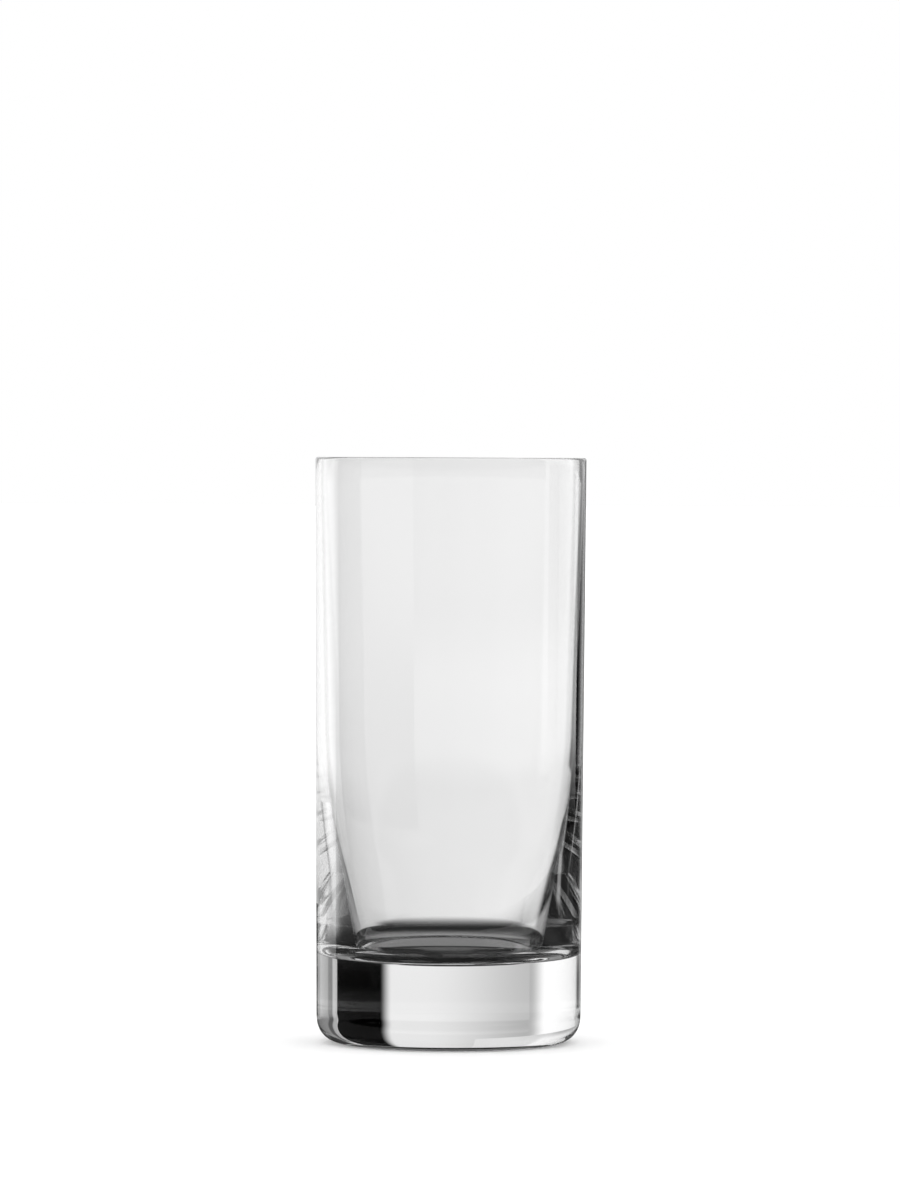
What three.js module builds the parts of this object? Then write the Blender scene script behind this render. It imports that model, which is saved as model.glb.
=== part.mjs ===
// A tall tumbler of clear glass: a heavy solid base with a rounded heel, a thin
// wall that grows thicker towards the base, and a rounded drinking edge.
// The real glass is one piece. Here it is three zones of that piece, which meet
// face to face on level planes. Millimetres, +Z up, origin under the base's centre.
import * as THREE from 'three';

// Outside
const HEIGHT = 151.2;
const RIM_DIAMETER = 70;
const FOOT_DIAMETER = 68.3; // where the heel's curve ends
const HEEL = 7.6; // height and depth of the heel's curve
const HEEL_SQUARENESS = 2.4; // 2 is a quarter circle, more is squarer
const RECESS_DIAMETER = 44; // shallow hollow in the underside
const RECESS_DEPTH = 0.5;

// Inside
const BASE_THICKNESS = 22.2; // underside to where the lines of the inner wall and floor meet
const FLOOR_CORNER = 5.5; // radius between the inner wall and the floor
const FLOOR_SLOPE = 6; // degrees from level, at the edge of the bowl-shaped floor
const RIM_WALL = 1.24;
const SHOULDER_HEIGHT = 62.8; // where the inner wall turns from upright to leaning
const SHOULDER_WALL = 2.48;
const LEAN = 10.6; // degrees from upright, below the shoulder
const SHOULDER_RADIUS = 218; // of the long curve over the shoulder

// Zones and facets
const RIM_BAND = 3.2; // height of the rim zone
const SEGMENTS = 64;
const HEEL_STEPS = 9;
const RECESS_STEPS = 5;
const SHOULDER_STEPS = 7;
const CORNER_STEPS = 8;
const CORNER_SHARE_IN_WALL = 0.6; // the rest of the corner belongs to the base
const BOWL_STEPS = 5;
const LIP_STEPS = 8;

const GLASS = { color: 0xf1f4f4, roughness: 0.02, metalness: 0, transparent: true, opacity: 0.35 };

const at = (radius, height) => new THREE.Vector2(radius, height);
const footRadius = FOOT_DIAMETER / 2;
const rimRadius = RIM_DIAMETER / 2;
const lipRadius = RIM_WALL / 2;
const lipHeight = HEIGHT - lipRadius;
const rimHeight = HEIGHT - RIM_BAND;

// The outside widens slightly from the heel to the lip.
function outside(height) {
  return at(THREE.MathUtils.mapLinear(height, HEEL, lipHeight, footRadius, rimRadius), height);
}

// The point of a straight line that lies at this height.
function onLine(start, end, height) {
  return start.clone().lerp(end, (height - start.y) / (end.y - start.y));
}

// The arc that rounds a corner between two straight lines, from the first line to the second.
function roundCorner(before, corner, after, radius, steps) {
  const back = before.clone().sub(corner).normalize();
  const on = after.clone().sub(corner).normalize();
  const half = Math.acos(back.dot(on)) / 2;
  const reach = radius / Math.tan(half);
  const centre = back.clone().add(on).setLength(radius / Math.sin(half)).add(corner);
  const from = corner.clone().addScaledVector(back, reach).sub(centre).angle();
  const to = corner.clone().addScaledVector(on, reach).sub(centre).angle();
  const clockwise = back.cross(on) > 0;
  return new THREE.EllipseCurve(centre.x, centre.y, radius, radius, from, to, clockwise).getPoints(steps);
}

// Numbers evenly spaced from 0 to 1.
function shares(steps) {
  return Array.from({ length: steps + 1 }, (unused, step) => step / steps);
}

// Inner wall: straight from the lip to the shoulder, then leaning in to the floor.
const innerTop = at(rimRadius - RIM_WALL, lipHeight);
const shoulder = at(outside(SHOULDER_HEIGHT).x - SHOULDER_WALL, SHOULDER_HEIGHT);
const lean = Math.tan(THREE.MathUtils.degToRad(LEAN));
const floorEdge = at(shoulder.x - (SHOULDER_HEIGHT - BASE_THICKNESS) * lean, BASE_THICKNESS);
const shoulderCurve = roundCorner(innerTop, shoulder, floorEdge, SHOULDER_RADIUS, SHOULDER_STEPS);

// Inner floor: a shallow bowl that the corner runs into.
const slope = Math.tan(THREE.MathUtils.degToRad(FLOOR_SLOPE));
const downSlope = at(floorEdge.x - 1, floorEdge.y - slope);
const cornerCurve = roundCorner(shoulder, floorEdge, downSlope, FLOOR_CORNER, CORNER_STEPS);
const seamStep = Math.ceil(CORNER_STEPS * CORNER_SHARE_IN_WALL);
const seam = cornerCurve[seamStep];
const bowlEdge = cornerCurve.at(-1);
const bowl = shares(BOWL_STEPS).slice(1).map((share) => {
  const inward = 1 - share;
  return at(bowlEdge.x * inward, bowlEdge.y - (slope * bowlEdge.x * (1 - inward ** 2)) / 2);
});

// Underside: a shallow hollow, a flat ring to stand on, and the heel.
const recess = shares(RECESS_STEPS).map((share) => {
  return at((share * RECESS_DIAMETER) / 2, RECESS_DEPTH * (1 - share ** 2) ** 2);
});
const heel = shares(HEEL_STEPS).map((share) => {
  const turn = (share * Math.PI) / 2;
  const along = Math.sin(turn) ** (2 / HEEL_SQUARENESS);
  const up = 1 - Math.cos(turn) ** (2 / HEEL_SQUARENESS);
  return at(footRadius - HEEL + HEEL * along, HEEL * up);
});

const baseOutline = [...recess, ...heel, outside(seam.y), ...cornerCurve.slice(seamStep), ...bowl];
const wallOutline = [
  outside(seam.y),
  outside(rimHeight),
  onLine(innerTop, shoulder, rimHeight),
  ...shoulderCurve,
  ...cornerCurve.slice(0, seamStep + 1),
  outside(seam.y),
];
const lip = new THREE.EllipseCurve(rimRadius - lipRadius, lipHeight, lipRadius, lipRadius, 0, Math.PI);
const rimOutline = [
  outside(rimHeight),
  ...lip.getPoints(LIP_STEPS),
  onLine(innerTop, shoulder, rimHeight),
  outside(rimHeight),
];

// A zone of the glass: its outline turned about the upright axis.
function zone(name, outline) {
  const mesh = new THREE.Mesh(new THREE.LatheGeometry(outline, SEGMENTS), new THREE.MeshStandardMaterial(GLASS));
  mesh.name = name;
  return mesh;
}

const tumbler = new THREE.Group();
tumbler.rotation.x = Math.PI / 2; // outlines turn about Y, the tumbler stands along Z
tumbler.add(zone('base', baseOutline), zone('wall', wallOutline), zone('rim', rimOutline));

const object = new THREE.Group();
object.add(tumbler);

export default object;
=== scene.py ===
# A tall tumbler of clear glass, in one piece, on a white studio floor.
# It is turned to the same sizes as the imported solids, and stands for all of them.
import math

import bmesh
import bpy
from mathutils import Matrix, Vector


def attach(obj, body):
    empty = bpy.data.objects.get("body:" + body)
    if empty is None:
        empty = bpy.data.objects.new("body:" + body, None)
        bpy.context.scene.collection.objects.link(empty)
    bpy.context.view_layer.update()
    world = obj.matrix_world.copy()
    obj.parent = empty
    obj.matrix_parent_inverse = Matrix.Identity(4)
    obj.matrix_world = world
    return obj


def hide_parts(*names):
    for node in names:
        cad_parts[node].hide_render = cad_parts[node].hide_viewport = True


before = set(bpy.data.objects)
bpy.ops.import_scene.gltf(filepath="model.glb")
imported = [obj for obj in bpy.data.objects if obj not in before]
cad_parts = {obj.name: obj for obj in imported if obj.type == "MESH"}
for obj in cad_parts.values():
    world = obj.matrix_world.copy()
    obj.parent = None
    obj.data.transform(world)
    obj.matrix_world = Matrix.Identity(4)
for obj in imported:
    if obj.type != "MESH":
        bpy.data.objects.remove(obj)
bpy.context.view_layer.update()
scene = bpy.context.scene

MM = 0.001

# Outside of the glass, in millimetres
HEIGHT = 151.2
RIM_DIAMETER = 70
FOOT_DIAMETER = 68.3  # where the heel's curve ends
HEEL = 7.6  # height and depth of the heel's curve
HEEL_SQUARENESS = 2.4  # 2 is a quarter circle, more is squarer
RECESS_DIAMETER = 44  # shallow hollow in the underside
RECESS_DEPTH = 0.5

# Inside of the glass, in millimetres and degrees
BASE_THICKNESS = 22.2  # underside to where the lines of the inner wall and floor meet
FLOOR_CORNER = 5.5  # radius between the inner wall and the floor
FLOOR_SLOPE = 6  # at the edge of the bowl-shaped floor
RIM_WALL = 1.24
SHOULDER_HEIGHT = 62.8  # where the inner wall turns from upright to leaning
SHOULDER_WALL = 2.48
LEAN = 10.6  # from upright, below the shoulder
SHOULDER_RADIUS = 218  # of the long curve over the shoulder

# Facets
SEGMENTS = 192
CURVE_STEPS = 32
LIP_STEPS = 16
LINE_STEPS = 24
CARD_PANELS = 24
WELD = 0.001  # points closer than this, in millimetres, are joined

# Optics and finish of the glass, lengths in millimetres
GLASS_IOR = 1.52
ABSORPTION = 1.5  # per metre
WAVE_WIDTH = 22  # of the faint upright waves in the surface
WAVE_LENGTH = 90
WAVE_DEPTH = 0.0015
SCUFFS = {"Scale": 900, "Detail": 4, "Roughness": 0.7}
RING_WEAR = 0.22  # roughness of the scuffs on the ring that the glass stands on
RING_HEIGHT = 0.25  # up to which the ring is scuffed

# Camera: level with the rim, far off, with a long lens; in millimetres, pixels and degrees
IMAGE_HEIGHT = 1200
SENSOR = 36
CAMERA_DISTANCE = 1817
CAMERA_SIDESTEP = -0.23
FOCAL_PIXELS = 7034
RIM_PIXEL = 457.5
CAMERA_ROLL = -0.25

# Light; brightness 1 is the white of the picture, lengths are in millimetres
FLOOR_RADIUS = 20000
FLOOR_ALBEDO = 0.8
FLOOR_ROUGHNESS = 0.9
FLOOR_LIGHT = 1.6  # of the room, as it lights the floor
FAR = 900  # from the axis of the glass to the far cards
FAR_FOOT = -1400
FAR_TOP = 1200
NEAR = 133  # to the near cards
NEAR_TOP = 300
PAPER_WHITE = 0.945  # brightness of the backdrop
TABLE_RADIUS = 128
TABLE_HEIGHT = -0.3
PAINTED_SHADE_UNDER_GLASS = 0.01  # brightness of the painted shade in the middle of the table, under the glass
FRONT_FILL = 0.9  # of the room, where the glass mirrors it
LIGHT_BOUNCES = 96

# Light that was mirrored so often inside the glass that it lost its pattern: from this many mirrorings
# on it is dark, then bright if it comes from the left, then bright if it comes from the right
DEEP = 3
DEEPER = 6
DEEPEST = 30
DEEP_DARK = 0.03
DEEPER_LEFT = 0.95
DEEPEST_LEFT = 0.05
DEEPEST_RIGHT = 0.85


class Value:
    """A number in a node tree, for sums written as Python."""

    def __init__(self, shader, socket):
        self.shader = shader
        self.socket = socket

    def __add__(self, other):
        return self.shader.maths("ADD", self, other)

    def __sub__(self, other):
        return self.shader.maths("SUBTRACT", self, other)

    def __rsub__(self, other):
        return self.shader.maths("SUBTRACT", other, self)

    def __mul__(self, other):
        return self.shader.maths("MULTIPLY", self, other)

    __radd__ = __add__
    __rmul__ = __mul__


class Shader:
    """The nodes of a material or of the world."""

    def __init__(self, owner):
        owner.use_nodes = True
        self.tree = owner.node_tree
        self.tree.nodes.clear()

    def node(self, kind, settings=None, sockets=None):
        """Adds a node and returns its outputs by name."""
        made = self.tree.nodes.new("ShaderNode" + kind)
        for name, setting in (settings or {}).items():
            setattr(made, name, setting)
        for name, value in (sockets or {}).items():
            if isinstance(value, Value):
                self.tree.links.new(value.socket, made.inputs[name])
            else:
                made.inputs[name].default_value = value
        return {output.name: Value(self, output) for output in made.outputs if output.enabled}

    def maths(self, operation, first, second):
        return self.node("Math", {"operation": operation}, {0: first, 1: second})["Value"]

    def ramp(self, value, start, end, at_start, at_end):
        """Goes smoothly from one number to another as the value goes from start to end."""
        (low, at_low), (high, at_high) = sorted([(start, at_start), (end, at_end)])
        smooth = {"interpolation_type": "SMOOTHSTEP"}
        stops = {"From Min": low, "From Max": high, "To Min": at_low, "To Max": at_high}
        return self.node("MapRange", smooth, {"Value": value, **stops})["Result"]

    def place(self):
        """The point's own X, Y and Z in metres."""
        spot = self.node("TexCoord")["Object"]
        return self.node("SeparateXYZ", sockets={"Vector": spot})

    def along(self, axis, start, end, at_start, at_end):
        """A ramp along the point's own X, Y or Z, between two places in millimetres."""
        return self.ramp(self.place()[axis], start * MM, end * MM, at_start, at_end)

    def outward(self, start, end, at_start, at_end):
        """A ramp between two distances from the origin, in millimetres."""
        spot = self.node("TexCoord")["Object"]
        distance = self.node("VectorMath", {"operation": "LENGTH"}, {0: spot})["Value"]
        return self.ramp(distance, start * MM, end * MM, at_start, at_end)

    def around(self, start, end, at_start, at_end):
        """A ramp round a far card, between two angles in degrees to the right of straight behind."""
        return self.ramp(self.place()["X"], far_off(start), far_off(end), at_start, at_end)

    def mirrorings(self):
        """How often the ray was mirrored before it came here."""
        return self.node("LightPath")["Glossy Depth"]

    def mirrored(self):
        """1 for a ray that was mirrored, 0 for one that came straight or through the glass."""
        return self.maths("MINIMUM", self.mirrorings(), 1)

    def mirrored_from(self, times):
        """1 for a ray that was mirrored at least this often, otherwise 0."""
        return self.maths("GREATER_THAN", self.mirrorings(), times - 0.5)

    def by_path(self, straight, mirrored):
        """One number for a ray that came straight or through the glass, another for a mirrored one."""
        return straight * (1 - self.mirrored()) + mirrored * self.mirrored()


def corner_arc(before, corner, after, radius, steps):
    """The arc that rounds a corner between two straight lines, from the first to the second."""
    back = (before - corner).normalized()
    on = (after - corner).normalized()
    half = back.angle(on) / 2
    centre = corner + (back + on).normalized() * radius / math.sin(half)
    start = corner + back * radius / math.tan(half) - centre
    end = corner + on * radius / math.tan(half) - centre
    turn = start.angle_signed(end)
    arc = []
    for step in range(steps + 1):
        angle = math.atan2(start.y, start.x) - turn * step / steps
        arc.append(centre + radius * Vector((math.cos(angle), math.sin(angle))))
    return arc


def straight(start, end):
    """Points between the ends of a straight line, without the ends."""
    return [start.lerp(end, step / LINE_STEPS) for step in range(1, LINE_STEPS)]


def glass_outline():
    """Half of the glass's section, from the middle of the underside to the middle of the inner floor."""
    foot_radius = FOOT_DIAMETER / 2
    rim_radius = RIM_DIAMETER / 2
    lip_radius = RIM_WALL / 2
    lip_height = HEIGHT - lip_radius

    recess = []
    for step in range(CURVE_STEPS):
        share = step / CURVE_STEPS
        recess.append(Vector((share * RECESS_DIAMETER / 2, RECESS_DEPTH * (1 - share ** 2) ** 2)))
    ring = Vector((RECESS_DIAMETER / 2, 0))
    heel = []
    for step in range(CURVE_STEPS + 1):
        angle = math.pi / 2 * step / CURVE_STEPS
        along = math.sin(angle) ** (2 / HEEL_SQUARENESS)
        up = 1 - math.cos(angle) ** (2 / HEEL_SQUARENESS)
        heel.append(Vector((foot_radius - HEEL + HEEL * along, HEEL * up)))
    outer_top = Vector((rim_radius, lip_height))
    lip = []
    for step in range(LIP_STEPS + 1):
        angle = math.pi * step / LIP_STEPS
        lip.append(Vector((rim_radius - lip_radius + lip_radius * math.cos(angle),
                           lip_height + lip_radius * math.sin(angle))))

    rise = (SHOULDER_HEIGHT - HEEL) / (lip_height - HEEL)
    shoulder_radius = foot_radius + (rim_radius - foot_radius) * rise - SHOULDER_WALL
    shoulder = Vector((shoulder_radius, SHOULDER_HEIGHT))
    fall = (SHOULDER_HEIGHT - BASE_THICKNESS) * math.tan(math.radians(LEAN))
    floor_edge = Vector((shoulder_radius - fall, BASE_THICKNESS))
    slope = math.tan(math.radians(FLOOR_SLOPE))
    shoulder_arc = corner_arc(lip[-1], shoulder, floor_edge, SHOULDER_RADIUS, CURVE_STEPS)
    floor_arc = corner_arc(shoulder, floor_edge, floor_edge - Vector((1, slope)), FLOOR_CORNER, CURVE_STEPS)
    bowl_radius, bowl_edge = floor_arc[-1]
    bowl = []
    for step in range(1, LINE_STEPS + 1):
        share = 1 - step / LINE_STEPS
        bowl.append(Vector((bowl_radius * share, bowl_edge - slope * bowl_radius / 2 * (1 - share ** 2))))

    return [
        *recess, ring, *heel,
        *straight(heel[-1], outer_top), *lip,
        *straight(lip[-1], shoulder_arc[0]), *shoulder_arc,
        *straight(shoulder_arc[-1], floor_arc[0]), *floor_arc, *bowl,
    ]


def new_object(name, mesh, material):
    mesh.materials.append(material)
    made = bpy.data.objects.new(name, mesh)
    scene.collection.objects.link(made)
    return made


def turned(name, outline, material):
    """A solid turned about the upright axis from an outline of radius and height."""
    sheet = bmesh.new()
    points = [sheet.verts.new((spot.x * MM, 0, spot.y * MM)) for spot in outline]
    edges = [sheet.edges.new(pair) for pair in zip(points, points[1:])]
    bmesh.ops.spin(sheet, geom=points + edges, axis=(0, 0, 1), angle=2 * math.pi,
                   steps=SEGMENTS, use_merge=True)
    bmesh.ops.remove_doubles(sheet, verts=sheet.verts, dist=WELD * MM)
    bmesh.ops.recalc_face_normals(sheet, faces=sheet.faces)
    for face in sheet.faces:
        face.smooth = True
    mesh = bpy.data.meshes.new(name)
    sheet.to_mesh(mesh)
    sheet.free()
    return new_object(name, mesh, material)


def clear_glass():
    """Clear, colourless glass: faint upright waves all over, and wear on the ring that it stands on."""
    material = bpy.data.materials.new("clear_glass")
    shader = Shader(material)
    spot = shader.node("TexCoord")["Object"]
    stretch = (1 / (WAVE_WIDTH * MM), 1 / (WAVE_WIDTH * MM), 1 / (WAVE_LENGTH * MM))
    drawn = shader.node("Mapping", sockets={"Vector": spot, "Scale": stretch})["Vector"]
    waves = shader.node("TexNoise", sockets={"Vector": drawn, "Scale": 1, "Detail": 1})["Fac"]
    relief = {"Height": waves, "Strength": 1, "Distance": WAVE_DEPTH * MM}
    normal = shader.node("Bump", sockets=relief)["Normal"]

    scuffs = shader.node("TexNoise", sockets={"Vector": spot, **SCUFFS})["Fac"]
    ring = shader.along("Z", 0.03, RING_HEIGHT, 1, 0)
    wear = ring * shader.ramp(scuffs, 0.42, 0.68, 0, RING_WEAR)

    surface = shader.node("BsdfPrincipled", sockets={
        "Base Color": (1, 1, 1, 1),
        "Roughness": wear,
        "IOR": GLASS_IOR,
        "Transmission Weight": 1,
        "Normal": normal,
    })["BSDF"]
    inside = shader.node("VolumeAbsorption", sockets={"Color": (0, 0, 0, 1), "Density": ABSORPTION})["Volume"]
    shader.node("OutputMaterial", sockets={"Surface": surface, "Volume": inside})
    return material


def pale_floor():
    """Plain white studio floor."""
    material = bpy.data.materials.new("pale_floor")
    shader = Shader(material)
    albedo = (FLOOR_ALBEDO, FLOOR_ALBEDO, FLOOR_ALBEDO, 1)
    surface = shader.node("BsdfPrincipled", sockets={
        "Base Color": albedo,
        "Roughness": FLOOR_ROUGHNESS,
        "Specular IOR Level": 0,
    })["BSDF"]
    shader.node("OutputMaterial", sockets={"Surface": surface})
    return material


def after_mirrors(shader, level, direction):
    """The level, or for light that was mirrored very often, only what its side of the room gives."""
    towards = shader.node("SeparateXYZ", sockets={"Vector": direction})
    deep = shader.mirrored_from(DEEP)
    deeper = shader.mirrored_from(DEEPER)
    deepest = shader.mirrored_from(DEEPEST)
    left_bright = shader.ramp(towards["X"], -0.2, 0.2, DEEPER_LEFT, DEEP_DARK)
    right_bright = shader.ramp(towards["X"], -0.8, 0.8, DEEPEST_LEFT, DEEPEST_RIGHT)
    room = DEEP_DARK * (deep - deeper) + left_bright * (deeper - deepest) + right_bright * deepest
    return level * (1 - deep) + room


def glowing(name, brightness):
    """Light of a brightness that a function of the shader works out."""
    material = bpy.data.materials.new(name)
    shader = Shader(material)
    spot = shader.node("TexCoord")["Object"]
    direction = shader.node("VectorMath", {"operation": "NORMALIZE"}, {0: spot})["Vector"]
    level = after_mirrors(shader, brightness(shader), direction)
    surface = shader.node("Emission", sockets={"Color": level})["Emission"]
    shader.node("OutputMaterial", sockets={"Surface": surface})
    return material


def card(name, left, right, distance, bottom, top, brightness):
    """A curved upright card round the glass: its ends are in degrees to the right of straight behind."""
    corners = []
    for step in range(CARD_PANELS + 1):
        angle = math.radians(left + (right - left) * step / CARD_PANELS)
        for height in (bottom, top):
            corners.append((distance * MM * math.sin(angle), distance * MM * math.cos(angle), height * MM))
    panels = [(first, first + 2, first + 3, first + 1) for first in range(0, 2 * CARD_PANELS, 2)]
    mesh = bpy.data.meshes.new(name)
    mesh.from_pydata(corners, [], panels)
    made = new_object(name, mesh, glowing(name, brightness))
    made.visible_camera = False
    made.visible_diffuse = False
    made.visible_shadow = False
    return made


def disc(name, radius, height, material):
    """A flat round sheet that lies level, centred under the glass."""
    mesh = bpy.data.meshes.new(name)
    sheet = bmesh.new()
    bmesh.ops.create_circle(sheet, cap_ends=True, radius=radius * MM, segments=SEGMENTS)
    bmesh.ops.translate(sheet, verts=sheet.verts, vec=(0, 0, height * MM))
    sheet.to_mesh(mesh)
    sheet.free()
    made = new_object(name, mesh, material)
    return made


def far_off(degrees):
    """How far to the right a far card is at this angle."""
    return FAR * MM * math.sin(math.radians(degrees))


def backdrop_light(shader):
    """White paper behind the glass, with a black flag in front of its right end.

    The paper is dimmer at its left end, and a little brighter in a belt level with the glass. Lower down,
    the flag's edge lies farther right. Mirrored light finds the paper's middle dark, a softer edge to the
    flag, and some white beyond it.
    """
    place = shader.place()
    mirrored = shader.mirrored()
    low = shader.along("Z", -55, -105, 0, 1)

    dim_end = shader.around(8, -28, 0, 0.415) * shader.along("Z", 0, -130, 1, 0.55)
    belt = shader.along("Z", 85, 45, 0, 0.08) * shader.along("Z", -10, -70, 1, 0.25)
    dark_middle = shader.around(-24, -19, 0, 0.95) * shader.around(12, 16, 1, 0) * mirrored
    paper = (PAPER_WHITE - dim_end + belt) * (1 - dark_middle)

    farther_right = low * shader.along("Z", -165, -215, 1, 0.45) * (far_off(29) - far_off(19))
    edge = shader.ramp(place["X"] - farther_right, far_off(16.5), far_off(21), 1, 0)
    softer_edge = shader.around(6, 33, 1, 0)
    left_of_flag = shader.by_path(edge, softer_edge)
    dark_foot = low * shader.around(15, 22, 0, 1) * mirrored

    beyond = shader.ramp(place["X"] + 3.2 * place["Z"], 780 * MM, 850 * MM, 0, 0.8) * mirrored
    gap = shader.around(40, 44, 0, 0.3) * low * mirrored
    return paper * left_of_flag * (1 - dark_foot) + beyond + gap


def softbox_light(shader):
    """A large soft lamp, dimmer at its right end. Mirrored light finds its foot bright, other light dim."""
    lamp = shader.around(-26, -34.5, 0.56, 1.25)
    low_lamp = shader.by_path(0.45 * lamp, shader.around(-34, -50, 0.92, 0.55))
    foot = shader.along("Z", -60, -330, 0, 1)
    return lamp * (1 - foot) + low_lamp * foot


def white_card_light(shader):
    """A white card close to the glass, with a slanting, dimmer right end and a grey foot.

    Mirrored light finds its right end dark.
    """
    place = shader.place()
    across = place["X"] - 0.07 * place["Z"]
    mirrored = shader.mirrored()
    white = shader.ramp(across, -53 * MM, -64 * MM, 0.9, 1.2)
    grey = shader.ramp(across, -28 * MM, -46 * MM, 0.88, 0.8)
    grey = grey - shader.ramp(across, -62 * MM, -85 * MM, 0, 0.25) * (1 - mirrored)
    grey = grey + shader.ramp(across, -100 * MM, -122 * MM, 0, 0.45) * (1 - mirrored)
    dark_end = shader.ramp(across, -56 * MM, -46 * MM, 0, 0.95) * mirrored
    foot = shader.along("Z", 28, 60, 1, 0)
    return (white * (1 - foot) + grey * foot) * (1 - dark_end)


def dark_side_light(shader):
    """A soft dark patch in the white left end of the room, beside the soft lamp."""
    patch = shader.around(-66, -72, 0, 0.85) * shader.along("Y", 60, 170, 0, 1)
    patch = patch * shader.along("Z", -15, -42, 0, 1) * shader.along("Z", -120, -65, 0, 1)
    return shader.by_path(1 - patch, 0)


def grey_side_light(shader):
    """The grey right side of the room, with a gap of light beside the flag; darker where it is mirrored."""
    grey = shader.around(53.5, 56.5, 0.12, 0.34) + shader.around(48.5, 50.5, 0.4, 0)
    return shader.by_path(grey, shader.along("Z", -60, -120, 0.06, 0.2))


def strip_light(shader):
    """A narrow lamp on the right, with a soft foot and a soft far end."""
    return shader.along("Z", 50, 85, 0, 1.8) * shader.along("Y", 5, 55, 0.25, 1)


def table_light(shader):
    """How bright the small table is where it shows in the glass: it glows, with painted shade in its middle
    and painted light round it.
    """
    place = shader.place()
    across = place["X"]
    back = place["Y"]
    mirrored = shader.mirrored()

    # Painted light: a grey crescent behind the foot of the glass
    aside = shader.maths("ABSOLUTE", across, 0)
    crescent = shader.outward(29.5, 31, 0, 0.3) * shader.outward(34, 58, 1, 0)
    crescent = crescent * shader.ramp(aside, 20 * MM, 34 * MM, 1, 0.1) * shader.along("Y", -10, 10, 0.1, 1)

    # Painted light: a streak towards the back right, for mirrored light
    off_streak = shader.maths("ABSOLUTE", across - 1.6 * back, 0)
    streak = shader.ramp(off_streak, 4 * MM, 16 * MM, 0.3, 0) * shader.outward(84, 92, 0, 1) * mirrored

    # Light on both sides, by the slant of the line from the axis: millimetres across for each one back
    slant = shader.maths("DIVIDE", across, back)
    left_side = shader.ramp(slant, -0.36, -0.55, 0, 1) * shader.ramp(slant, -0.8, -1.7, 0.6, 0.08)
    left_side = left_side * shader.outward(72, 80, 0, 1)
    right_side = shader.ramp(slant, 0.68, 0.84, 0.45, 0) * shader.outward(85, 100, 0, 1)
    right_side = right_side + shader.outward(94, 101, 0.5, 0) * shader.outward(72, 82, 0, 1)
    right_side = right_side * shader.ramp(slant, 0.4, 0.6, 0, 1) * (1 - mirrored)

    # Light that was mirrored often finds only the back right bright
    level = PAINTED_SHADE_UNDER_GLASS + crescent + streak + left_side + right_side
    far_corner = shader.along("X", -20, 20, 0.02, 0.85) * shader.along("Y", 8, 20, 0.15, 1)
    deep = shader.mirrored_from(DEEP)
    return level * (1 - deep) + far_corner * deep


def table_fading(shader):
    """0 in the middle of the table, 1 where it has faded out towards its edges."""
    place = shader.place()
    past_left = shader.maths("MAXIMUM", -25 * MM - place["X"], 0)
    fading = shader.ramp(place["Y"] + 0.75 * past_left, 60 * MM, TABLE_RADIUS * MM, 0, 1)
    front = shader.along("Y", -10, -40, 0, 1) * shader.outward(60, 115, 0, 1)
    left = shader.along("X", -60, -85, 0, 1) * shader.outward(95, 125, 0, 1)
    edge = shader.outward(117, TABLE_RADIUS, 0, 1)
    for soft in (front, left, edge):
        fading = shader.maths("MAXIMUM", fading, soft)
    return fading


def table_painted_light_and_shade():
    """The small table under the glass, which glows with painted shade and painted light, and fades out
    towards its edges.
    """
    material = bpy.data.materials.new("table_painted_light_and_shade")
    shader = Shader(material)
    shade = shader.node("Emission", sockets={"Color": table_light(shader)})["Emission"]
    clear = shader.node("BsdfTransparent")["BSDF"]
    surface = shader.node("MixShader", sockets={"Fac": table_fading(shader), 1: shade, 2: clear})["Shader"]
    shader.node("OutputMaterial", sockets={"Surface": surface})
    return material


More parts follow.
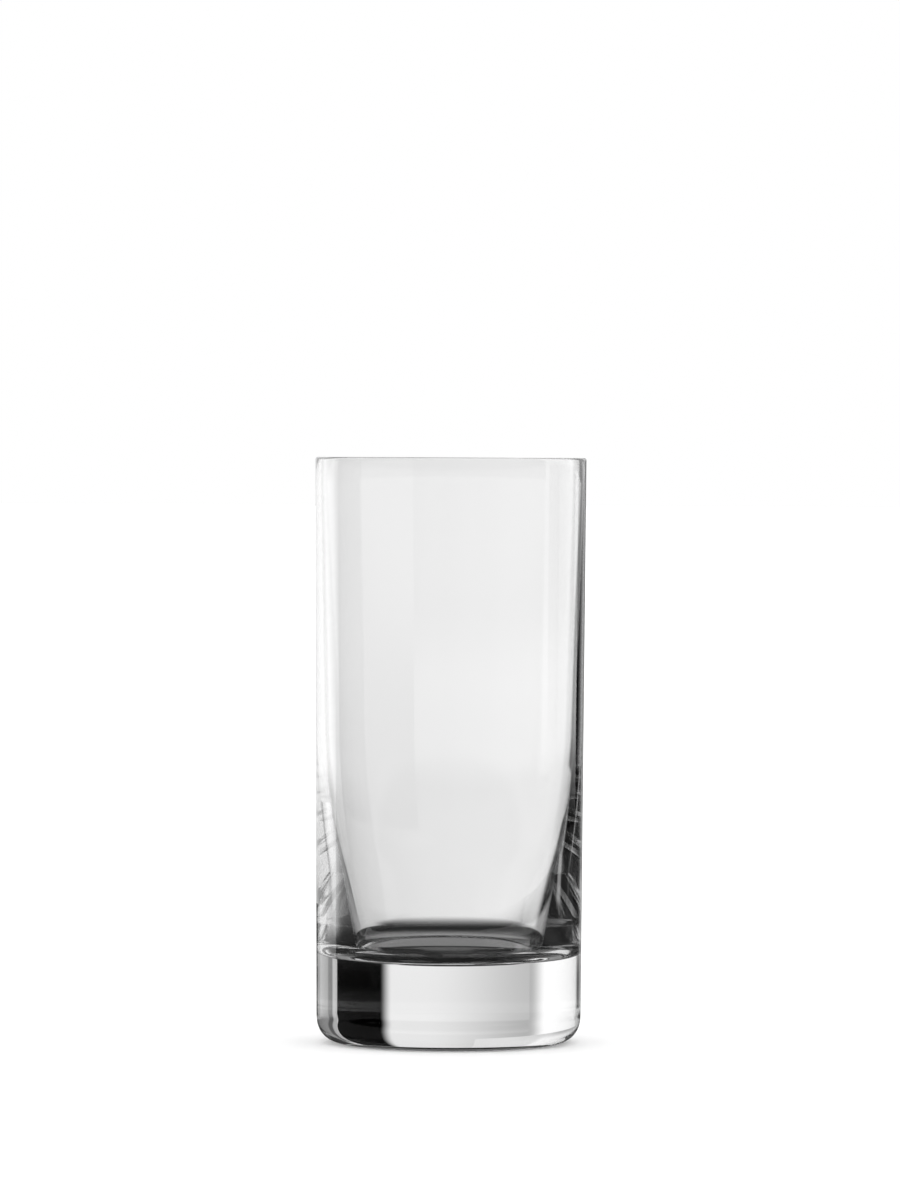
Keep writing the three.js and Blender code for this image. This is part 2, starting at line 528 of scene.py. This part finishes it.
def studio_room():
    """White room; mirrored light finds it bright only about level with the glass, and dim above."""
    world = bpy.data.worlds.new("studio_room")
    scene.world = world
    shader = Shader(world)
    direction = shader.node("TexCoord")["Generated"]
    up = shader.node("SeparateXYZ", sockets={"Vector": direction})["Z"]
    fill = shader.ramp(up, -0.055, -0.03, 0, FRONT_FILL) * shader.ramp(up, 0.03, 0.06, 1, 0.2)
    seen = after_mirrors(shader, shader.by_path(1, fill), direction)
    on_floor = shader.maths("MINIMUM", shader.node("LightPath")["Diffuse Depth"], 1)
    level = seen * (1 - on_floor) + FLOOR_LIGHT * on_floor
    surface = shader.node("Background", sockets={"Color": level})["Background"]
    shader.node("OutputWorld", sockets={"Surface": surface})


def photo_camera():
    """The camera stands level with the rim and looks slightly down."""
    lens = bpy.data.cameras.new("camera")
    lens.sensor_width = SENSOR
    lens.lens = SENSOR * FOCAL_PIXELS / IMAGE_HEIGHT
    made = bpy.data.objects.new("camera", lens)
    scene.collection.objects.link(made)
    tilt = math.atan((IMAGE_HEIGHT / 2 - RIM_PIXEL) / FOCAL_PIXELS)
    made.location = (CAMERA_SIDESTEP * MM, -CAMERA_DISTANCE * MM, HEIGHT * MM)
    made.rotation_euler = (math.pi / 2 - tilt, math.radians(CAMERA_ROLL), 0)
    scene.camera = made


# The glass
tumbler = turned("tumbler_glass", glass_outline(), clear_glass())
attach(tumbler, "root")
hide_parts("base", "wall", "rim")

# Floor, and the small table that shows in the glass, painted with shade and light
floor = disc("floor", FLOOR_RADIUS, 0, pale_floor())
floor.visible_transmission = False
floor.visible_glossy = False
# The table glows: painted shade under the glass and painted light round it, seen only in the glass
table = disc("table", TABLE_RADIUS, TABLE_HEIGHT, table_painted_light_and_shade())
table.visible_camera = False
table.visible_diffuse = False
table.visible_shadow = False

# Cards of the studio
card("backdrop", -30, 45, FAR, FAR_FOOT, FAR_TOP, backdrop_light)
card("softbox", -26, -66, FAR - 10, FAR_FOOT, FAR_TOP, softbox_light)
card("dark_side", -66, -89, FAR, -130, -15, dark_side_light)
card("white_card", -5, -75, NEAR, 28, NEAR_TOP, white_card_light)
card("grey_side", 45.3, 89, FAR, -600, 700, grey_side_light)
side_strip = card("side_strip", 54, 86, NEAR, 50, NEAR_TOP, strip_light)
side_strip.visible_transmission = False

# Room and camera
studio_room()
photo_camera()

# Picture: plain tones, and enough bounces for light that goes round inside the wall
scene.view_settings.view_transform = "Standard"
scene.cycles.max_bounces = LIGHT_BOUNCES
scene.cycles.transmission_bounces = LIGHT_BOUNCES
scene.cycles.glossy_bounces = LIGHT_BOUNCES
scene.cycles.use_denoising = True

# Bring the scene up to date
bpy.context.view_layer.update()
